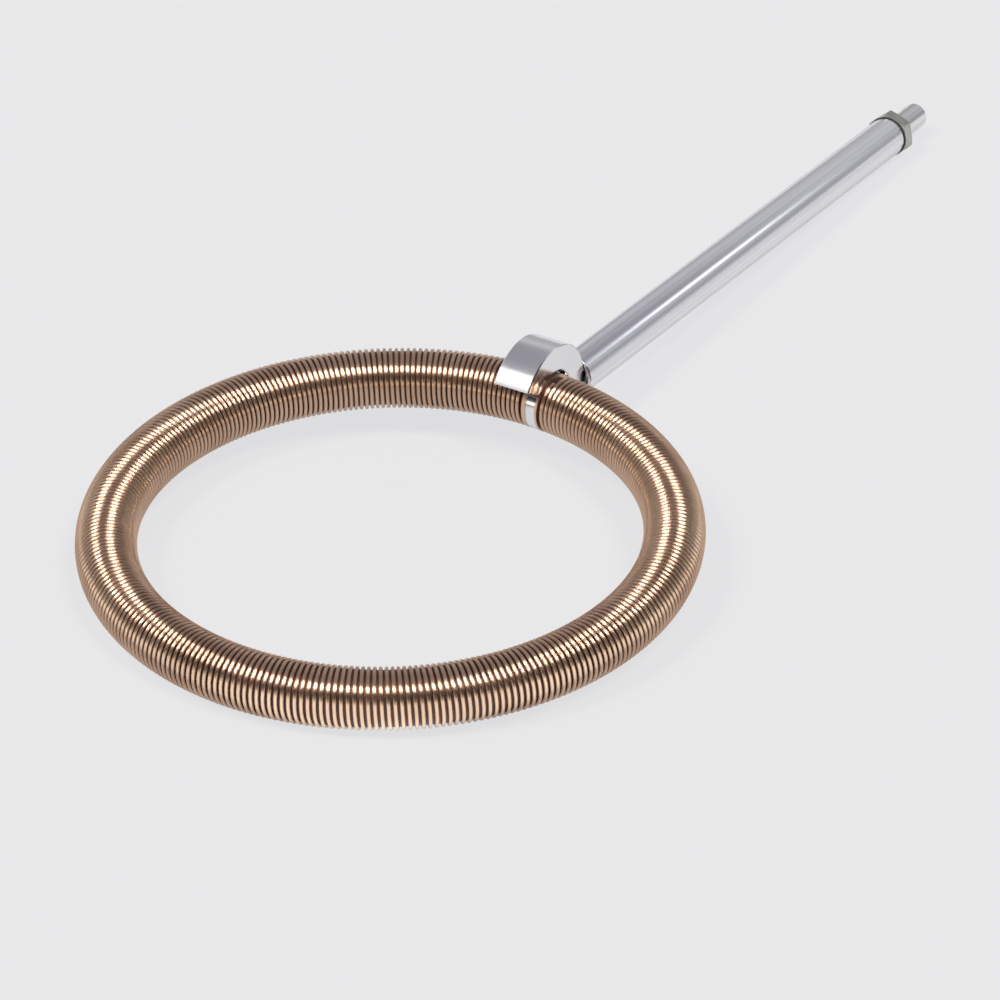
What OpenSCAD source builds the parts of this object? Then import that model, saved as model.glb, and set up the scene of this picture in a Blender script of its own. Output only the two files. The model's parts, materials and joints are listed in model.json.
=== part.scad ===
/* [Ring] */
// Radius of the ring, to the centre of its tube
ring_r = 120; // [100:1:160]
// Outside diameter of the winding
winding_od = 26.4; // [24:0.1:29]
// Diameter of the winding wire
wire_d = 1.6; // [1.2:0.1:2]
// Turns of wire round the ring
turns = 90; // [60:1:90]
// Radial room between the wire and the core tube
wire_room = 0.1; // [0.05:0.05:0.5]
// Wall of the core tube
core_wall = 1.5; // [1:0.1:2.5]

/* [Swivel joint] */
// Width of the eye that the ring turns in
eye_w = 4.4; // [4.4:0.1:6]
// Distance of the eye from the middle of the saddle
eye_x = 4.6; // [4:0.1:5]
// Diameter of the hollow trunnion inside the eye
trunnion_d = 16; // [14:0.5:17]
// Wall of the trunnion
trunnion_wall = 2.2; // [1.8:0.1:3]
// Width of the end ferrules of the winding
ferrule_w = 2; // [1.5:0.1:4]
// Running clearance of the trunnion, radial
run_gap = 0.05; // [0.03:0.01:0.1]
// Gap between the eye and each ferrule
face_gap = 0.15; // [0.1:0.05:0.4]
// Width of the two coolant grooves round the trunnion
groove_w = 0.5; // [0.4:0.1:0.6]
// Depth of the grooves round the trunnion
groove_t = 1; // [0.6:0.1:1.2]
// Distance between the feed groove and the return groove
groove_pitch = 1.1; // [1:0.1:1.2]
// Distance of the partition from the middle of the eye
feed_shift = 0.25; // [0.2:0.05:0.4]
// Thickness of the partition between the two bores of the trunnion
partition_w = 0.5; // [0.3:0.1:0.6]
// Thickness of the sealing rings
seal_w = 0.6; // [0.4:0.1:0.6]
// Edge of the eye left outside each sealing ring
seal_edge = 0.3; // [0.2:0.05:0.4]

/* [Saddle] */
// Outside diameter of the saddle
saddle_d = 52.6; // [46:0.2:62]
// Bore of the saddle
saddle_bore = 29.4; // [29:0.1:32]
// Length of the saddle along the ring
saddle_l = 17.4; // [16:0.1:26]
// How far the saddle reaches over the ring, in degrees from the stem
reach_over = 148; // [120:1:155]
// How far the saddle reaches under the stem, in degrees from the stem
reach_under = 50; // [35:1:60]
// Height of the hinge axis above the ground at rest
hub_z = 26.3; // [24:0.1:40]

/* [Stem] */
// Sideways offset of the stem from the middle of the saddle
stem_x = 3.2; // [3:0.1:3.4]
// Outside diameter of the stem tube
stem_d = 18.6; // [17:0.1:24]
// Wall of the stem tube
stem_wall = 1.9; // [1:0.1:2.2]
// Length of the stem tube
stem_l = 290; // [150:1:400]
// Outside diameter of the tie tube and of its smooth end
tie_d = 12; // [11:0.5:12.5]
// Outside diameter of the thread that the nut runs on
thread_d = 14; // [13.5:0.5:14]
// Bore of the tie tube
tie_bore = 4.2; // [4:0.1:6]
// Diameter of the neck at the foot of the tie tube
neck_d = 5.8; // [5.6:0.1:6.4]
// Depth of the neck in the stub of the eye
neck_l = 4; // [3:0.5:6]
// Diameter of the stub of the eye
stub_d = 8; // [7.8:0.1:8.6]
// Thickness of the eye under the socket for the neck
socket_floor = 1.4; // [1:0.1:2]
// Diameter of the shoulder of the tie tube that presses on the saddle
shoulder_d = 10; // [9:0.1:10.6]
// Height of that shoulder above the saddle
shoulder_h = 3; // [2:0.5:6]
// Depth of the flat under the shoulder
spot_t = 2; // [1.4:0.1:4]
// Outside diameter of the inner feed tube
feed_d = 2.5; // [2.2:0.1:3]
// Bore of the inner feed tube
feed_bore = 1.6; // [1:0.1:1.8]
// Diameter of the two passages in the eye
passage_d = 0.5; // [0.4:0.1:0.5]
// Length of the two bushes that centre the stem tube
bush_l = 10; // [5:1:20]
// Distance of the lower bush from the foot of the stem tube
bush_inset = 14; // [5:1:40]
// Clearance between pieces that fit into each other, radial
fit_gap = 0.05; // [0.03:0.01:0.1]

/* [Nut] */
// Size of the nut across its flats
nut_af = 19; // [18.6:0.1:24]
// Thickness of the nut
nut_t = 6; // [4:0.5:10]
// Height of the chamfer on the corners of the nut
nut_chamfer = 0.9; // [0.4:0.1:1.2]
// Turn of the nut on its thread at rest, in degrees
nut_turn = 19; // [0:1:30]
// Thickness of the end washer
washer_t = 1; // [0.5:0.1:3]
// Outside diameter of the end washer
washer_d = 19.4; // [17:0.1:26]
// Length of the smooth end past the nut
spigot_l = 22.5; // [15:0.5:45]
// Chamfer at the tip of the smooth end
tip_chamfer = 1.2; // [0.5:0.1:2]

/* [Hidden] */

$fn = 96;
winding_r = winding_od / 2;
wire_r = wire_d / 2;
helix_r = winding_r - wire_r;
saddle_r = saddle_d / 2;
// how far tools reach past the faces that they cut
past = 1;
// gap between the ring's winding and what stays still round it
turn_gap = 0.3;
// facets of the ring, of its tube and of small holes
ring_fn = 360;
tube_fn = 64;
hole_fn = 24;
copper = "#b5713f";
silver = "#c9cace";
steel = "#9a9b9d";
rubber = "#1b1b1d";

// ---- how the object lies: the far side of the ring and a corner of the nut touch the ground
ring_tilt = asin((hub_z - winding_r) / (2 * ring_r));
nut_face = saddle_r + stem_l + washer_t + nut_t;
corner_r = nut_af / 2 / cos(30);
// angle between straight down and the lowest corner of the nut
corner_off = abs(nut_turn - 30);
nut_low = corner_r * cos(corner_off);
stem_slope = asin(hub_z / norm([nut_face, nut_low])) - atan2(nut_low, nut_face);
tip_s = nut_face + spigot_l;
// reach of the whole object before and behind the hinge axis, made equal about the origin
reach_front = tip_s * cos(stem_slope) + (tie_d / 2 - tip_chamfer) * sin(stem_slope);
reach_back = 2 * ring_r * cos(ring_tilt) + winding_r;
hub_y = (reach_back - reach_front) / 2;

// ---- swivel joint, measured along the tube of the ring from the middle of the saddle
eye_left = eye_x - eye_w / 2;
eye_right = eye_x + eye_w / 2;
left_end = eye_left - face_gap - ferrule_w;
right_end = eye_right + face_gap + ferrule_w;
left_angle = asin(-left_end / ring_r);
right_angle = asin(right_end / ring_r);
trunnion_r = trunnion_d / 2;
trunnion_bore = trunnion_d - 2 * trunnion_wall;
partition_x = eye_x - feed_shift;
feed_x = partition_x - groove_pitch / 2;
return_x = partition_x + groove_pitch / 2;
left_seal_x = eye_left + seal_edge + seal_w / 2;
right_seal_x = eye_right - seal_edge - seal_w / 2;

// ---- core of the ring: the wire lies on its eight-sided turns
curl_rings = 8;
wire_sides = 6;
core_r = helix_r * cos(180 / curl_rings) - wire_r - wire_room;

// ---- stem, measured from the hinge axis
stub_low = winding_r + turn_gap;
socket_s = winding_r + socket_floor;
shoulder_s = saddle_r - spot_t;
foot_s = saddle_r;
top_s = foot_s + stem_l;
stem_bore = stem_d - 2 * stem_wall;

// Places children that are drawn round the hinge axis, at the hub
module at_hub() {
    translate([0, hub_y, hub_z]) children();
}

// Places children that are drawn along +Z from the hinge axis, on the stem
module on_stem() {
    at_hub() translate([stem_x, 0, 0]) rotate([-90 - stem_slope, 0, 0]) children();
}

// Places children that are drawn round the centre of the level ring
module on_ring() {
    at_hub() rotate([ring_tilt, 0, 0]) translate([0, -ring_r, 0]) children();
}

// Cylinder along X between two places, round the hinge axis
module along_x(from, to, r) {
    translate([from, 0, 0]) rotate([0, 90, 0]) cylinder(h = to - from, r = r);
}

// Cylinder along Z between two heights
module along_z(from, to, r) {
    translate([0, 0, from]) cylinder(h = to - from, r = r);
}

// Stretch of the ring's tube, in degrees of the ring counted from the hub
module ring_arc(from, to, r) {
    rotate([0, 0, 90 - to]) rotate_extrude(angle = to - from, $fn = ring_fn)
        translate([ring_r, 0]) circle(r = r, $fn = tube_fn);
}

// ---- winding: one wire, from the right ferrule all the way round to the left one
// straight end of the wire and its bend into the turns, in wire diameters
lead_share = 1.3;
bend_share = 1.6;
lead = lead_share * wire_d;
bend_r = bend_share * wire_d;
bend_steps = 4;
arc_total = 360 - left_angle - right_angle;
wire_travel = ring_r * arc_total * PI / 180;
// both ends leave a ferrule square to it, and bend into the turns
end_travel = lead + bend_r;
pitch = (wire_travel - 2 * end_travel) / turns;
bend_turn = bend_r / helix_r * 180 / PI;
// a place on the wire as [travel along the ring, turn round its tube in degrees]
start_path = concat([[0, 0], [lead / 2, 0], [lead, 0]],
    [for (i = [1:bend_steps]) let(a = 90 * i / (bend_steps + 1))
        [lead + bend_r * sin(a), bend_turn * (1 - cos(a))]]);
turn_path = [for (i = [0:turns * curl_rings])
    [end_travel + pitch * i / curl_rings, bend_turn + 360 * i / curl_rings]];
last_turn = 360 * turns + 2 * bend_turn;
end_path = [for (i = [len(start_path) - 1:-1:0])
    [wire_travel - start_path[i][0], last_turn - start_path[i][1]]];
wire_path = concat(start_path, turn_path, end_path);

// the first place faces away from the hub's mouth
wire_start = 90;
function ring_angle(p) = 90 - right_angle - p[0] / ring_r * 180 / PI;
function out_way(p) = let(a = ring_angle(p), t = wire_start + p[1])
    [cos(t) * cos(a), cos(t) * sin(a), sin(t)];
function wire_point(p) = let(a = ring_angle(p))
    [ring_r * cos(a), ring_r * sin(a), 0] + helix_r * out_way(p);
wire_points = [for (p = wire_path) wire_point(p)];
wire_last = len(wire_points) - 1;
function unit(v) = v / norm(v);
function square_end(i) = let(a = ring_angle(wire_path[i])) [sin(a), -cos(a), 0];
function wire_way(i) = (i == 0 || i == wire_last) ? square_end(i)
    : unit(wire_points[i + 1] - wire_points[i - 1]);
function wire_ring(i) = let(
        way = wire_way(i),
        side = unit(cross(way, out_way(wire_path[i]))),
        out = cross(side, way))
    [for (k = [0:wire_sides - 1]) let(a = 360 * k / wire_sides)
        wire_points[i] + wire_r * (cos(a) * out + sin(a) * side)];
wire_corners = [for (i = [0:wire_last]) each wire_ring(i)];
function next_side(k) = (k + 1) % wire_sides;
wire_skin = [for (i = [0:wire_last - 1]) for (k = [0:wire_sides - 1])
    let(a = i * wire_sides + k, b = i * wire_sides + next_side(k))
    each [[a, b, b + wire_sides], [a, b + wire_sides, a + wire_sides]]];
wire_caps = [for (k = [1:wire_sides - 2])
    each [[0, k + 1, k], wire_last * wire_sides * [1, 1, 1] + [0, k, k + 1]]];

// nearest that the wire comes to another turn of itself, less its own thickness
wire_gap = min([for (i = [0:wire_last - curl_rings + 2])
    for (j = [i + curl_rings - 2:min(wire_last, i + curl_rings + 2)])
        norm(wire_points[i] - wire_points[j])]) - wire_d;
echo(wire_gap = wire_gap, wire_triangles = len(wire_skin) + len(wire_caps));

module winding() {
    color(copper) on_ring() polyhedron(points = wire_corners, faces = concat(wire_skin, wire_caps));
}

module core_tube() {
    color(copper) on_ring() difference() {
        ring_arc(right_angle, 360 - left_angle, core_r);
        ring_arc(right_angle - past, 360 - left_angle + past, core_r - core_wall);
    }
}

// Piece of the ring's tube that is flat on its near face and follows the bend on its far face
module ferrule(near, far) {
    side = sign(far - near);
    bend_far = asin(far / ring_r);
    bend_near = asin(near / ring_r) - side;
    difference() {
        translate([0, -ring_r, 0]) ring_arc(min(bend_far, bend_near), max(bend_far, bend_near), winding_r);
        translate([near - (side > 0 ? saddle_d : 0), -saddle_r, -saddle_r])
            cube([saddle_d, saddle_d, saddle_d]);
        along_x(min(near, far) - ferrule_w, max(near, far) + ferrule_w, trunnion_r);
    }
}

module left_ferrule() {
    color(copper) at_hub() rotate([ring_tilt, 0, 0]) ferrule(eye_left - face_gap, left_end);
}

module right_ferrule() {
    color(copper) at_hub() rotate([ring_tilt, 0, 0]) ferrule(eye_right + face_gap, right_end);
}

// Groove round the trunnion with straight sides
module groove(at, width) {
    difference() {
        along_x(at - width / 2, at + width / 2, trunnion_r + past);
        along_x(at - width, at + width, trunnion_r - groove_t);
    }
}

module trunnion() {
    color(steel) at_hub() rotate([ring_tilt, 0, 0]) difference() {
        along_x(left_end, right_end, trunnion_r);
        along_x(left_end - past, partition_x - partition_w / 2, trunnion_bore / 2);
        along_x(partition_x + partition_w / 2, right_end + past, trunnion_bore / 2);
        groove(feed_x, groove_w);
        groove(return_x, groove_w);
        groove(left_seal_x, seal_w);
        groove(right_seal_x, seal_w);
        for (x = [feed_x, return_x])
            translate([x, 0, 0]) cylinder(h = trunnion_d, d = passage_d, $fn = hole_fn);
    }
}

// Sealing ring that lies in a groove of the trunnion
module seal(at) {
    color(rubber) at_hub() difference() {
        along_x(at - seal_w / 2, at + seal_w / 2, trunnion_r + run_gap / 2);
        along_x(at - seal_w, at + seal_w, trunnion_r - groove_t);
    }
}

module left_seal() {
    seal(left_seal_x);
}

module right_seal() {
    seal(right_seal_x);
}

module eye_collar() {
    color(silver) difference() {
        union() {
            at_hub() along_x(eye_left, eye_right, winding_r);
            on_stem() along_z(stub_low, shoulder_s, stub_d / 2);
            intersection() {
                on_stem() along_z(helix_r, socket_s, stub_d / 2);
                at_hub() along_x(eye_left, eye_right, saddle_r);
            }
        }
        at_hub() along_x(eye_left - past, eye_right + past, trunnion_r + run_gap);
        on_stem() along_z(shoulder_s - neck_l, shoulder_s + past, neck_d / 2);
        on_stem() along_z(socket_s, shoulder_s, tie_bore / 2);
        for (x = [feed_x, return_x])
            on_stem() translate([x - stem_x, 0, 0])
                along_z(trunnion_r - past, socket_s + past, passage_d / 2, $fn = hole_fn);
    }
}

module saddle() {
    mouth = 360 - reach_over - reach_under;
    mouth_steps = 3;
    mouth_reach = (saddle_r + past) / cos(mouth / mouth_steps / 2);
    color(silver) difference() {
        at_hub() along_x(-saddle_l / 2, saddle_l / 2, saddle_r);
        at_hub() along_x(-saddle_l / 2 - past, saddle_l / 2 + past, saddle_bore / 2);
        on_stem() along_z(0, saddle_r + past, stub_d / 2 + fit_gap);
        on_stem() along_z(shoulder_s, saddle_r + past, shoulder_d / 2 + fit_gap);
        at_hub() rotate([-stem_slope, 0, 0]) translate([-saddle_l, 0, 0]) rotate([90, 0, 90])
            linear_extrude(2 * saddle_l) polygon(concat([[0, 0]], [for (i = [0:mouth_steps])
                let(a = reach_over + mouth * i / mouth_steps)
                mouth_reach * [cos(a), sin(a)]]));
    }
}

module tie_tube() {
    color(silver) on_stem() difference() {
        union() {
            along_z(shoulder_s, foot_s + shoulder_h, shoulder_d / 2);
            along_z(foot_s + shoulder_h, tip_s - tip_chamfer, tie_d / 2);
            along_z(top_s, nut_face, thread_d / 2);
            along_z(shoulder_s - neck_l, shoulder_s, neck_d / 2);
            translate([0, 0, tip_s - tip_chamfer])
                cylinder(h = tip_chamfer, r1 = tie_d / 2, r2 = tie_d / 2 - tip_chamfer);
        }
        along_z(shoulder_s - neck_l - past, tip_s + past, tie_bore / 2);
    }
}

module feed_tube() {
    color(steel) on_stem() difference() {
        along_z(socket_s, tip_s, feed_d / 2);
        along_z(socket_s - past, tip_s + past, feed_bore / 2);
    }
}

module stem_tube() {
    color(silver) on_stem() difference() {
        along_z(foot_s, top_s, stem_d / 2);
        along_z(foot_s - past, top_s + past, stem_bore / 2);
    }
}

// Bush that keeps the tie tube in the middle of the stem tube
module bush(from) {
    color(rubber) on_stem() difference() {
        along_z(from, from + bush_l, stem_bore / 2);
        along_z(from - past, from + bush_l + past, tie_d / 2);
    }
}

module lower_bush() {
    bush(foot_s + bush_inset);
}

module upper_bush() {
    bush(top_s - bush_l);
}

module end_washer() {
    color(rubber) on_stem() difference() {
        along_z(top_s, top_s + washer_t, washer_d / 2);
        along_z(top_s - past, top_s + washer_t + past, thread_d / 2 + fit_gap);
    }
}

module hex_nut() {
    color(steel) on_stem() difference() {
        intersection() {
            rotate([0, 0, nut_turn]) translate([0, 0, top_s + washer_t])
                cylinder(h = nut_t, r = corner_r, $fn = 6);
            union() {
                along_z(top_s + washer_t + nut_chamfer, nut_face - nut_chamfer, corner_r + past);
                translate([0, 0, top_s + washer_t])
                    cylinder(h = nut_chamfer, r1 = nut_af / 2, r2 = corner_r + past);
                translate([0, 0, nut_face - nut_chamfer])
                    cylinder(h = nut_chamfer, r1 = corner_r + past, r2 = nut_af / 2);
            }
        }
        along_z(top_s, nut_face + past, thread_d / 2 + fit_gap);
    }
}

winding();
core_tube();
left_ferrule();
right_ferrule();
trunnion();
left_seal();
right_seal();
eye_collar();
saddle();
tie_tube();
feed_tube();
stem_tube();
lower_bush();
upper_bush();
end_washer();
hex_nut();
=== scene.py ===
"""Looks of the immersion wort chiller: a wire-wound ring, a saddle, a long stem and its nut."""
import json
import math

import bpy
from mathutils import Matrix, Vector

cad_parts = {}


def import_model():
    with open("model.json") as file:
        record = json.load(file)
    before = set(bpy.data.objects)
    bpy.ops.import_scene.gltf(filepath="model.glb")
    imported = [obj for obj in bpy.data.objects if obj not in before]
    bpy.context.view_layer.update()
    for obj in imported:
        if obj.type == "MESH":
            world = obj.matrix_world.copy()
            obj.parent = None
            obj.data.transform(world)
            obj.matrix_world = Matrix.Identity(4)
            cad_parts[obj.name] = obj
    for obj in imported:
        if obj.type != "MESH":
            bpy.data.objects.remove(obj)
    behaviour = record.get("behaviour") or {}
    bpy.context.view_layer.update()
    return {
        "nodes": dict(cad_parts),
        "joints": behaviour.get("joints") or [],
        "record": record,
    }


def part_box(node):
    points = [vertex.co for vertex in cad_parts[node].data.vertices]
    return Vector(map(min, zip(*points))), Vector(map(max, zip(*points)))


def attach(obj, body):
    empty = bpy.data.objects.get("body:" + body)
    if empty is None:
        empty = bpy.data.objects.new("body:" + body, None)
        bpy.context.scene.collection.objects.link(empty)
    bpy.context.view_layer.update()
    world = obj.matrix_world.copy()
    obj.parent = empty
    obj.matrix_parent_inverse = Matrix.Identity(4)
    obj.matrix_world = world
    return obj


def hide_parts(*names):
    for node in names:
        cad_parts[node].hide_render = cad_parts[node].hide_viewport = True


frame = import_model()
NODES = frame["nodes"]
JOINTS = {joint["name"]: joint for joint in frame["joints"]}
SLOTS = {part["node"]: part["material_slot"] for part in frame["record"]["subparts"]}
MM = 0.001
TURN = 2 * math.pi


# ---------------------------------------------------------------- sizes read from the frame
HUB = Vector(JOINTS["ring_swivel"]["pos_m"])
STEM_WAY = Vector(JOINTS["nut_spin"]["axis"]).normalized()
SPIGOT_R = frame["record"]["mounts"][0]["dims"]["r_mm"] * MM


def half_size(node, axis):
    low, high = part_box(node)
    return (high[axis] - low[axis]) / 2


def middle(node, axis):
    low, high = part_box(node)
    return (high[axis] + low[axis]) / 2


def stem_span(node):
    """First and last place of a node along the stem, counted from the hinge axis."""
    places = [(Vector(v.co) - HUB).dot(STEM_WAY) for v in NODES[node].data.vertices]
    return min(places), max(places)


WINDING_R = half_size("left_ferrule", 2)
SADDLE_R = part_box("saddle")[1][2] - HUB.z
SADDLE_HALF_L = half_size("saddle", 0)
STEM_X = middle("stem_tube", 0)
STEM_R = half_size("stem_tube", 0)

# ---------------------------------------------------------------- sizes repeated from part.scad
RING_R = 120 * MM
WIRE_R = 0.8 * MM
SADDLE_BORE_R = 14.7 * MM
REACH_OVER = math.radians(148)
REACH_UNDER = math.radians(50)
THREAD_R = 7 * MM
STEM_WALL = 1.9 * MM
TIE_BORE_R = 2.1 * MM
# the tie tube has a neck, a shoulder that starts in the saddle and ends past it, and a tip
NECK_R = 2.9 * MM
SHOULDER_R = 5.0 * MM
SHOULDER_SINK = 2 * MM
SHOULDER_RISE = 3 * MM
TIP_CHAMFER = 1.2 * MM

# ---------------------------------------------------------------- sizes that follow
HELIX_R = WINDING_R - WIRE_R
RING_TILT = math.asin((HUB.z - WINDING_R) / (2 * RING_R))
RING_WAY = Vector((0, math.cos(RING_TILT), math.sin(RING_TILT)))
RING_UP = Vector((0, -math.sin(RING_TILT), math.cos(RING_TILT)))
RIGHT = Vector((1, 0, 0))
RING_CENTRE = Vector((0, HUB.y, HUB.z)) - RING_WAY * RING_R


# ---------------------------------------------------------------- node helpers
NOISE_ROUGHNESS = 0.55


class Nodes:
    """Short calls for the nodes of a material or of the world."""

    def __init__(self, tree):
        self.tree = tree
        tree.nodes.clear()

    def link(self, source, target):
        self.tree.links.new(source, target)

    def node(self, kind, inputs=None, **settings):
        """A new node, whose inputs are given a value or linked to an output."""
        made = self.tree.nodes.new("ShaderNode" + kind)
        for key, value in settings.items():
            setattr(made, key, value)
        for key, value in (inputs or {}).items():
            if hasattr(value, "is_output"):
                self.link(value, made.inputs[key])
            else:
                made.inputs[key].default_value = value
        return made

    def ramp(self, fac, stops):
        made = self.node("ValToRGB", {0: fac})
        ramp = made.color_ramp
        while len(ramp.elements) < len(stops):
            ramp.elements.new(0.5)
        for element, (place, colour) in zip(ramp.elements, stops):
            element.position = place
            element.color = (*colour, 1)
        return made.outputs[0]

    def spread(self, fac, low, high, start=0.0, end=1.0, **settings):
        """Maps the range from start to end onto the range from low to high."""
        inputs = {"Value": fac, "From Min": start, "From Max": end, "To Min": low, "To Max": high}
        return self.node("MapRange", inputs, **settings).outputs[0]

    def maths(self, operation, first, second):
        return self.node("Math", {0: first, 1: second}, operation=operation).outputs[0]

    def along(self, vector, way):
        """How far a vector reaches in a direction."""
        inputs = {0: vector, 1: way}
        return self.node("VectorMath", inputs, operation="DOT_PRODUCT").outputs["Value"]

    def scaled(self, vector, factor):
        inputs = {0: vector, "Scale": factor}
        return self.node("VectorMath", inputs, operation="SCALE").outputs[0]

    def blend(self, fac, first, second):
        inputs = {0: fac, 4: first, 5: second}
        return self.node("Mix", inputs, data_type="VECTOR").outputs[1]


class Shader(Nodes):
    """A material with one Principled shader."""

    def __init__(self, name):
        self.material = bpy.data.materials.new(name)
        self.material.use_nodes = True
        super().__init__(self.material.node_tree)
        self.out = self.node("OutputMaterial")
        self.bsdf = self.node("BsdfPrincipled")
        self.link(self.bsdf.outputs[0], self.out.inputs["Surface"])

    def set(self, **inputs):
        """Sets or links the shader's own sockets."""
        for key, value in inputs.items():
            socket = self.bsdf.inputs[key.replace("_", " ")]
            if hasattr(value, "is_output"):
                self.link(value, socket)
            else:
                socket.default_value = value
        return self

    def place(self, **mapping):
        """The object's own coordinates, scaled or turned."""
        vector = self.node("TexCoord").outputs["Object"]
        settings = {"vector_type": mapping.pop("vector_type", "POINT")}
        return self.node("Mapping", {"Vector": vector, **mapping}, **settings).outputs[0]

    def noise(self, vector, scale, detail):
        inputs = {"Vector": vector, "Scale": scale, "Detail": detail, "Roughness": NOISE_ROUGHNESS}
        return self.node("TexNoise", inputs).outputs[0]

    def bump(self, height, strength, distance):
        inputs = {"Height": height, "Strength": strength, "Distance": distance}
        return self.node("Bump", inputs).outputs[0]


# ---------------------------------------------------------------- materials
ROUND_MAP = "round_the_wire"
PATCH_DARK, PATCH_LIGHT = 0.3, 0.7
# the light and dark streaks are partly grain and partly painted reflection bands
STREAK_DARK, STREAK_LIGHT = 0.36, 0.64
STREAK_WIDTH, STREAK_LENGTH = 1 / 260, 1 / 0.4


def grained(name, patch, grain, dark, light, smooth, dull, relief=None, metallic=1.0):
    """Two close colours in patches, with the gloss, and any relief, from a grain.

    patch and grain are a scale per metre, a detail and a stretch of the coordinates, dark and
    light are colours, smooth and dull the least and most roughness, and relief is a strength
    and a height.
    """
    s = Shader(name)
    patches, grains = (s.noise(s.place(Scale=stretch), scale, detail)
                       for scale, detail, stretch in (patch, grain))
    s.set(Base_Color=s.ramp(patches, [(PATCH_DARK, dark), (PATCH_LIGHT, light)]))
    s.set(Metallic=metallic, Roughness=s.spread(grains, smooth, dull))
    if relief:
        s.set(Normal=s.bump(grains, *relief))
    return s.material


def bright_copper(name):
    s = Shader(name)
    patch = s.noise(s.place(), scale=38.0, detail=3.0)
    fine = s.noise(s.place(), scale=420.0, detail=2.0)
    colour = s.ramp(patch, [
        (0.32, (0.60, 0.40, 0.29)), (0.52, (0.68, 0.47, 0.345)), (0.70, (0.74, 0.53, 0.395))])
    return s.set(Base_Color=colour, Metallic=1.0, Roughness=s.spread(fine, 0.35, 0.40))


def drawn_copper(name):
    """Drawn wire: fine grooves along it spread its highlights round it."""
    s = bright_copper(name)
    round_wire = s.node("Tangent", direction_type="UV_MAP", uv_map=ROUND_MAP).outputs[0]
    return s.set(Anisotropic=1.0, Tangent=round_wire).material


def streaked_metal(name, dark, light, smooth, dull):
    """Metal with fine streaks along the stem: partly grain along it, partly painted reflection
    bands.
    """
    s = Shader(name)
    turn = (math.asin(STEM_WAY.z), 0, 0)
    stretch = (STREAK_WIDTH, STREAK_LENGTH, STREAK_WIDTH)
    coordinates = s.place(vector_type="TEXTURE", Rotation=turn, Scale=stretch)
    streak = s.noise(coordinates, scale=3.0, detail=4.0)
    s.set(Base_Color=s.ramp(streak, [(STREAK_DARK, dark), (STREAK_LIGHT, light)]))
    s.set(Metallic=1.0, Roughness=s.spread(streak, smooth, dull))
    return s.set(Normal=s.bump(streak, strength=0.05, distance=0.08 * MM)).material


EVEN = (1, 1, 1)
MATERIALS = {
    "copper_wire": drawn_copper("copper_wire"),
    "copper_ring": bright_copper("copper_ring").material,
    "copper_core": grained(
        "copper_core", patch=(55.0, 4.0, EVEN), grain=(55.0, 4.0, EVEN),
        dark=(0.05, 0.025, 0.02), light=(0.10, 0.05, 0.035),
        smooth=0.35, dull=0.55, relief=(0.1, 0.2 * MM), metallic=0.85),
    "polished_metal": grained(
        "polished_metal", patch=(26.0, 3.0, EVEN), grain=(60.0, 3.0, (1, 40, 40)),
        dark=(0.80, 0.80, 0.83), light=(0.87, 0.87, 0.89),
        smooth=0.13, dull=0.21, relief=(0.03, 0.1 * MM)),
    "tube_metal": streaked_metal(
        "tube_metal", dark=(0.73, 0.73, 0.78), light=(0.90, 0.90, 0.94), smooth=0.14, dull=0.26),
    # the spigot's strong light and dark streaks are partly grain and partly painted reflection
    # bands
    "bright_spigot": streaked_metal(
        "bright_spigot", dark=(0.60, 0.60, 0.61), light=(0.99, 0.99, 0.99), smooth=0.10, dull=0.22),
    "nut_steel": grained(
        "nut_steel", patch=(90.0, 3.0, EVEN), grain=(420.0, 4.0, (1, 6, 1)),
        dark=(0.40, 0.40, 0.37), light=(0.52, 0.52, 0.49),
        smooth=0.22, dull=0.36, relief=(0.08, 0.1 * MM)),
    "inner_steel": grained(
        "inner_steel", patch=(160.0, 4.0, EVEN), grain=(160.0, 4.0, EVEN),
        dark=(0.50, 0.50, 0.51), light=(0.60, 0.60, 0.61), smooth=0.3, dull=0.42),
    "black_rubber": grained(
        "black_rubber", patch=(700.0, 4.0, EVEN), grain=(700.0, 4.0, EVEN),
        dark=(0.010, 0.010, 0.012), light=(0.022, 0.022, 0.025),
        smooth=0.5, dull=0.65, relief=(0.15, 0.2 * MM), metallic=0.0),
    "bush_plastic": grained(
        "bush_plastic", patch=(300.0, 4.0, EVEN), grain=(300.0, 4.0, EVEN),
        dark=(0.07, 0.07, 0.08), light=(0.10, 0.10, 0.11), smooth=0.4, dull=0.5, metallic=0.0),
}


# ---------------------------------------------------------------- mesh helpers
CREASE = 28
WIRE_CREASE = 60
CORNER_STEPS = 4
LATHE_SIDES = 160


def make_piece(name, points, faces, slot, body, *nodes, look=None, crease=CREASE):
    """A mesh that stands for CAD nodes and rides on their body.

    It is smooth but for edges past the crease, and has the material of its slot unless it is
    given a look of its own.
    """
    mesh = bpy.data.meshes.new(name)
    mesh.from_pydata([tuple(p) for p in points], [], faces)
    mesh.validate()
    piece = bpy.data.objects.new(name, mesh)
    bpy.context.scene.collection.objects.link(piece)
    mesh.materials.append(MATERIALS[look or slot])
    for polygon in mesh.polygons:
        polygon.use_smooth = True
    mesh.set_sharp_from_angle(angle=math.radians(crease))
    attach(piece, body)
    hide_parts(*nodes)
    return piece


def round_corner(corner, before, after, radius):
    """Points of a curve that rounds the corner of a profile."""
    corner = Vector(corner)
    start = corner + (Vector(before) - corner).normalized() * radius
    end = corner + (Vector(after) - corner).normalized() * radius
    points = []
    for i in range(CORNER_STEPS + 1):
        t = i / CORNER_STEPS
        points.append(start * (1 - t) ** 2 + corner * 2 * t * (1 - t) + end * t ** 2)
    return points


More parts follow.
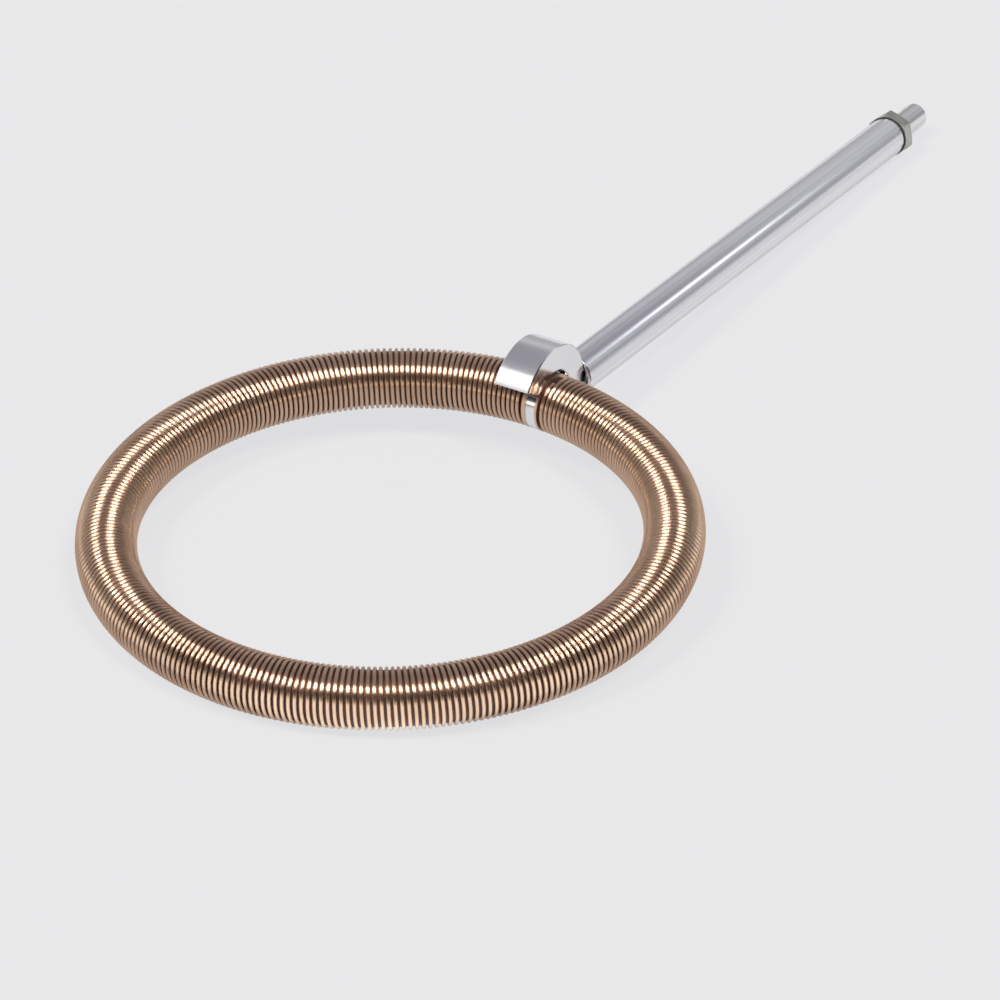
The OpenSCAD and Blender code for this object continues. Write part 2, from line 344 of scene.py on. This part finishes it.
def lathe(name, profile, corner_r, slot, body, *nodes, look=None):
    """Turns a closed profile of (place along the stem, radius) round the stem's axis."""
    outline = []
    count = len(profile)
    for i, corner in enumerate(profile):
        outline += round_corner(corner, profile[i - 1], profile[(i + 1) % count], corner_r)
    across = STEM_WAY.cross(RIGHT).normalized()
    base = Vector((STEM_X, HUB.y, HUB.z))
    points = []
    for k in range(LATHE_SIDES):
        a = TURN * k / LATHE_SIDES
        out = RIGHT * math.cos(a) + across * math.sin(a)
        points += [base + STEM_WAY * p[0] + out * p[1] for p in outline]
    size = len(outline)
    faces = []
    for k in range(LATHE_SIDES):
        n = (k + 1) % LATHE_SIDES
        for i in range(size):
            j = (i + 1) % size
            faces.append((k * size + i, n * size + i, n * size + j, k * size + j))
    return make_piece(name, points, faces, slot, body, *nodes, look=look)


def ring_out(angle):
    """Away from the ring's centre, at an angle counted from the right, towards the stem."""
    return RIGHT * math.cos(angle) + RING_WAY * math.sin(angle)


# ---------------------------------------------------------------- the ring's winding
TURNS = 294
TURN_STEPS = 28
WIRE_SIDES = 8
# each end of the wire bends inwards, over this part of a turn
END_DIP = 2.4 * MM
END_DIP_TURN = 0.07


def wire_path():
    """Points of the wire's centre line, with the way out of the ring's tube at each."""
    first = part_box("right_ferrule")[1].x
    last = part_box("left_ferrule")[0].x
    start_angle = math.asin(first / RING_R) + WIRE_R / RING_R
    end_angle = TURN + math.asin(last / RING_R) - WIRE_R / RING_R
    total = TURNS * TURN_STEPS
    centres, outs = [], []
    for i in range(total + 1):
        share = i / total
        radial = ring_out(math.pi / 2 - (start_angle + (end_angle - start_angle) * share))
        turn = math.pi / 2 + TURN * TURNS * share
        out = radial * math.cos(turn) + RING_UP * math.sin(turn)
        near_end = min(share, 1 - share) * TURNS / END_DIP_TURN
        sink = END_DIP * (1 - min(1, near_end)) ** 2
        centres.append(RING_CENTRE + radial * RING_R + out * (HELIX_R - sink))
        outs.append(out)
    return centres, outs


def add_round_map(mesh):
    """A map that runs round the wire, so that the tangent does too."""
    flat = []
    for polygon in mesh.polygons:
        spots = list(polygon.vertices)
        sides = [v % WIRE_SIDES for v in spots]
        wraps = max(sides) - min(sides) > WIRE_SIDES / 2
        for v, k in zip(spots, sides):
            round_share = (k + WIRE_SIDES if wraps and k == 0 else k) / WIRE_SIDES
            flat += [round_share, v // WIRE_SIDES / TURN_STEPS]
    mesh.uv_layers.new(name=ROUND_MAP).data.foreach_set("uv", flat)


def winding():
    """One wire, close wound from the right ferrule all the way round to the left one."""
    centres, outs = wire_path()
    total = len(centres) - 1
    points, faces = [], []
    for i in range(total + 1):
        way = (centres[min(total, i + 1)] - centres[max(0, i - 1)]).normalized()
        side = way.cross(outs[i]).normalized()
        out = side.cross(way)
        for k in range(WIRE_SIDES):
            a = TURN * k / WIRE_SIDES
            points.append(centres[i] + (out * math.cos(a) + side * math.sin(a)) * WIRE_R)
    for i in range(total):
        for k in range(WIRE_SIDES):
            n = (k + 1) % WIRE_SIDES
            a, b = i * WIRE_SIDES + k, i * WIRE_SIDES + n
            faces.append((a, b, b + WIRE_SIDES, a + WIRE_SIDES))
    faces.append(tuple(reversed(range(WIRE_SIDES))))
    faces.append(tuple(total * WIRE_SIDES + k for k in range(WIRE_SIDES)))
    piece = make_piece(
        "copper_winding", points, faces, "copper_wire", "ring", "winding", crease=WIRE_CREASE)
    add_round_map(piece.data)


# ---------------------------------------------------------------- the ring's core
# the wire is sunk a little into the tube, by the rest of its radius
CORE_GAP = 0.9 * WIRE_R
CORE_STEPS = 360
CORE_SIDES = 40


def core():
    """The tube under the wire, which the round turns lie on."""
    radius = HELIX_R - CORE_GAP
    first = math.asin(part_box("right_ferrule")[0].x / RING_R)
    last = TURN + math.asin(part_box("left_ferrule")[1].x / RING_R)
    points, faces = [], []
    for i in range(CORE_STEPS + 1):
        radial = ring_out(math.pi / 2 - (first + (last - first) * i / CORE_STEPS))
        for k in range(CORE_SIDES):
            a = TURN * k / CORE_SIDES
            out = radial * (RING_R + radius * math.cos(a))
            points.append(RING_CENTRE + out + RING_UP * radius * math.sin(a))
    for i in range(CORE_STEPS):
        here, there = i * CORE_SIDES, (i + 1) * CORE_SIDES
        for k in range(CORE_SIDES):
            n = (k + 1) % CORE_SIDES
            faces.append((here + k, here + n, there + n, there + k))
    make_piece("dark_core", points, faces, "copper_core", "ring", "core_tube")


# ---------------------------------------------------------------- the saddle
SADDLE_CHAMFER = 0.45 * MM
SADDLE_STEPS = 96


def saddle_outline(inset):
    """The hook seen from the right: its round outside, then its bore back again."""
    slope = math.atan2(-STEM_WAY.z, STEM_WAY.y)
    loop = []
    for radius, way in ((SADDLE_R - inset, 1), (SADDLE_BORE_R + inset, -1)):
        shy = inset / radius
        for i in range(SADDLE_STEPS + 1):
            share = i / SADDLE_STEPS if way > 0 else 1 - i / SADDLE_STEPS
            a = shy - REACH_UNDER + (REACH_OVER + REACH_UNDER - 2 * shy) * share - slope
            loop.append((radius * math.cos(a), radius * math.sin(a)))
    return loop


def saddle():
    """Hook-shaped block with small chamfers, open towards the middle of the ring."""
    layers = [(-SADDLE_HALF_L, SADDLE_CHAMFER), (-SADDLE_HALF_L + SADDLE_CHAMFER, 0.0),
              (SADDLE_HALF_L - SADDLE_CHAMFER, 0.0), (SADDLE_HALF_L, SADDLE_CHAMFER)]
    points = []
    for x, inset in layers:
        points += [Vector((x, HUB.y + y, HUB.z + z)) for y, z in saddle_outline(inset)]
    size = 2 * (SADDLE_STEPS + 1)
    faces = []
    for layer in range(len(layers) - 1):
        for i in range(size):
            j = (i + 1) % size
            a, b = layer * size, (layer + 1) * size
            faces.append((a + j, a + i, b + i, b + j))
    right_end = (len(layers) - 1) * size
    for i in range(SADDLE_STEPS):
        # two points outside, and the two in the bore across from them
        outer, outer_next, bore, bore_next = i, i + 1, size - 1 - i, size - 2 - i
        faces.append((outer, outer_next, bore_next, bore))
        faces.append(tuple(right_end + v for v in (outer_next, outer, bore, bore_next)))
    make_piece("polished_saddle", points, faces, "polished_metal", "stem", "saddle")


# ---------------------------------------------------------------- the stem and its washer
TUBE_CORNER_R = 0.35 * MM
TIE_CORNER_R = 0.25 * MM
WASHER_CORNER_R = 0.3 * MM
WASHER_ROOM = 0.05 * MM


def stem():
    foot, top = stem_span("stem_tube")
    inner = STEM_R - STEM_WALL
    tube = [(foot, inner), (foot, STEM_R), (top, STEM_R), (top, inner)]
    lathe("bright_stem_tube", tube, TUBE_CORNER_R, "tube_metal", "stem", "stem_tube")

    tie_foot, tip = stem_span("tie_tube")
    nut_face = stem_span("hex_nut")[1]
    shoulder, step = SADDLE_R - SHOULDER_SINK, SADDLE_R + SHOULDER_RISE
    tie = [(tie_foot, TIE_BORE_R), (tie_foot, NECK_R), (shoulder, NECK_R),
           (shoulder, SHOULDER_R), (step, SHOULDER_R), (step, SPIGOT_R),
           (top, SPIGOT_R), (top, THREAD_R), (nut_face, THREAD_R), (nut_face, SPIGOT_R),
           (tip - TIP_CHAMFER, SPIGOT_R), (tip, SPIGOT_R - TIP_CHAMFER), (tip, TIE_BORE_R)]
    lathe("bright_tie_tube", tie, TIE_CORNER_R, "polished_metal", "stem", "tie_tube",
          look="bright_spigot")


def washer():
    low, high = stem_span("end_washer")
    outer = half_size("end_washer", 0)
    inner = THREAD_R + WASHER_ROOM
    ring = [(low, inner), (low, outer), (high, outer), (high, inner)]
    lathe("rubber_end_washer", ring, WASHER_CORNER_R, "black_rubber", "washer", "end_washer")


def paint_cad_nodes():
    """The ferrules have no map round a wire, so they get copper without the drawn look."""
    for name, cad_piece in NODES.items():
        look = "copper_ring" if name.endswith("ferrule") else SLOTS[name]
        cad_piece.data.materials.clear()
        cad_piece.data.materials.append(MATERIALS[look])


winding()
core()
saddle()
stem()
washer()
paint_cad_nodes()


# ---------------------------------------------------------------- camera
CAMERA_TURN, CAMERA_HEIGHT, CAMERA_ROLL = 30.806, 31.333, 0.571
CAMERA_DISTANCE = 2.900
CAMERA_CLIP = 100
FOCAL_PX = 6844.25
FRAME_PX = 1000
SENSOR_MM = 36
AIM = Vector((30.896, -127.925, 26.0)) * MM


def camera():
    """Adds the camera, and returns its level right and its level way ahead."""
    turn, height, roll = map(math.radians, (CAMERA_TURN, CAMERA_HEIGHT, CAMERA_ROLL))
    level = Vector((math.cos(turn), math.sin(turn), 0))
    away = Vector((-math.sin(turn), math.cos(turn), 0))
    ahead = away * math.cos(height) - Vector((0, 0, math.sin(height)))
    above = level.cross(ahead)
    right = level * math.cos(roll) + above * math.sin(roll)
    above = -level * math.sin(roll) + above * math.cos(roll)
    data = bpy.data.cameras.new("camera")
    data.sensor_width = SENSOR_MM
    data.lens = SENSOR_MM * FOCAL_PX / FRAME_PX
    data.clip_end = CAMERA_CLIP
    eye = bpy.data.objects.new("camera", data)
    axes = Matrix((right, above, -ahead)).transposed().to_4x4()
    eye.matrix_world = Matrix.Translation(AIM - ahead * CAMERA_DISTANCE) @ axes
    bpy.context.scene.collection.objects.link(eye)
    bpy.context.scene.camera = eye
    return level, away


LEVEL, AWAY = camera()


# ---------------------------------------------------------------- floor
BACKGROUND = (0.833, 0.834, 0.854)
FLOOR_HALF = 30
FLOOR_PAINT = (0.40, 0.40, 0.41)
FLOOR_ROUGHNESS = 0.9
# how much of the floor is its own glow, and not lit paint, to the camera and in mirrors
CAMERA_GLOW = 0.85
MIRROR_GLOW = 0.62
# painted reflection: mirrors show the floor glowing brighter in front of the ring than under and
# behind it
FRONT_MIRROR = (2.25, 2.45, 2.50)
FRONT_EDGE = RING_CENTRE.dot(AWAY) - RING_R
FRONT_FADE = 10 * MM


def floor():
    """Pale floor that keeps a soft shadow, with a painted glow in front of the ring that only
    mirrors show.
    """
    mesh = bpy.data.meshes.new("floor")
    corners = [(x * FLOOR_HALF, y * FLOOR_HALF, 0) for x, y in ((-1, -1), (1, -1), (1, 1), (-1, 1))]
    mesh.from_pydata(corners, [], [(0, 1, 2, 3)])
    plane = bpy.data.objects.new("floor", mesh)
    bpy.context.scene.collection.objects.link(plane)
    s = Shader("floor")
    s.set(Base_Color=(*FLOOR_PAINT, 1), Roughness=FLOOR_ROUGHNESS, Specular_IOR_Level=0.0)
    ray = s.node("LightPath").outputs
    # painted reflection: glossy rays see the floor glow brighter in front of the ring
    away = s.along(s.place(), AWAY)
    front = s.spread(away, 0.0, 1.0, start=FRONT_EDGE, end=FRONT_EDGE - FRONT_FADE)
    mirrored = s.maths("MULTIPLY", front, ray["Is Glossy Ray"])
    colour = s.blend(mirrored, BACKGROUND, FRONT_MIRROR)
    glow = s.node("Emission", {"Color": colour, "Strength": 1.0}).outputs[0]
    seen = s.maths("MULTIPLY", ray["Is Camera Ray"], CAMERA_GLOW)
    shiny = s.maths("MULTIPLY", ray["Is Glossy Ray"], MIRROR_GLOW)
    share = s.maths("MAXIMUM", s.maths("MAXIMUM", seen, shiny), ray["Is Transmission Ray"])
    mix = s.node("MixShader", {0: share, 1: s.bsdf.outputs[0], 2: glow})
    s.link(mix.outputs[0], s.out.inputs["Surface"])
    mesh.materials.append(s.material)


# ---------------------------------------------------------------- sky and lamps
def sky(side, away, up):
    """A direction given to the right of the camera's view, away from it and up."""
    return (LEVEL * side + AWAY * away + Vector((0, 0, up))).normalized()


WHITE = (1.0, 1.0, 1.0)
WARM = (1.0, 0.96, 0.88)
# soft lamps painted on the sky, and last a dark card, which takes light away:
# direction, half-angle and soft edge in degrees, strength, colour
LAMPS = [
    (sky(-0.45, -0.35, 0.82), 7, 3, 36.0, WARM),
    (sky(0.30, -0.40, 0.866), 7, 3, 36.0, WARM),
    (sky(-0.66, -0.25, 0.70), 9, 9, 1.0, WHITE),
    (sky(0.742, 0.469, 0.48), 2.5, 4, 1.5, WHITE),
    (sky(0.60, 0.555, 0.575), 3, 4, -0.12, WHITE),
]
# the sky from the horizon up, on the camera's side and beyond the object: height, colour
SKY_GAIN = 2.0
SKY_FRONT = [
    (0.0, (0.95, 0.93, 0.86)), (0.12, (0.85, 0.83, 0.76)), (0.20, (0.016, 0.012, 0.015)),
    (0.60, (0.014, 0.012, 0.014)), (0.88, (0.10, 0.098, 0.111)), (1.0, (0.155, 0.152, 0.174))]
SKY_AWAY = [
    (0.0, (0.24, 0.24, 0.245)), (0.20, (0.21, 0.21, 0.22)), (0.48, (0.30, 0.30, 0.31)),
    (0.66, (0.175, 0.172, 0.187)), (1.0, (0.155, 0.152, 0.174))]
# the depth at which the front sky ends, and the one at which the far sky is reached
FRONT_DEPTH, AWAY_DEPTH = -0.25, 0.15


def world():
    """The studio's sky for light and mirrors, and the plain background for the camera."""
    scene = bpy.context.scene
    scene.world = bpy.data.worlds.new("studio")
    scene.world.use_nodes = True
    w = Nodes(scene.world.node_tree)
    way = w.node("TexCoord").outputs["Generated"]
    height = w.node("SeparateXYZ", {0: way}).outputs["Z"]
    front, beyond = (w.scaled(w.ramp(height, stops), SKY_GAIN) for stops in (SKY_FRONT, SKY_AWAY))
    behind = w.spread(w.along(way, AWAY), 0.0, 1.0, start=FRONT_DEPTH, end=AWAY_DEPTH,
                      interpolation_type="SMOOTHSTEP")
    colour = w.blend(behind, front, beyond)
    for lamp, inner, edge, strength, tint in LAMPS:
        start, end = math.cos(math.radians(inner + edge)), math.cos(math.radians(inner))
        light = w.scaled(tint, w.spread(w.along(way, lamp), 0.0, strength, start=start, end=end,
                                        interpolation_type="SMOOTHSTEP"))
        colour = w.node("VectorMath", {0: colour, 1: light}, operation="ADD").outputs[0]
    studio = w.node("Background", {"Color": colour}).outputs[0]
    plain = w.node("Background", {"Color": (*BACKGROUND, 1)}).outputs[0]
    seen = w.node("LightPath").outputs["Is Camera Ray"]
    mix = w.node("MixShader", {0: seen, 1: studio, 2: plain})
    w.node("OutputWorld", {"Surface": mix.outputs[0]})


floor()
world()
bpy.context.scene.view_settings.view_transform = "Standard"
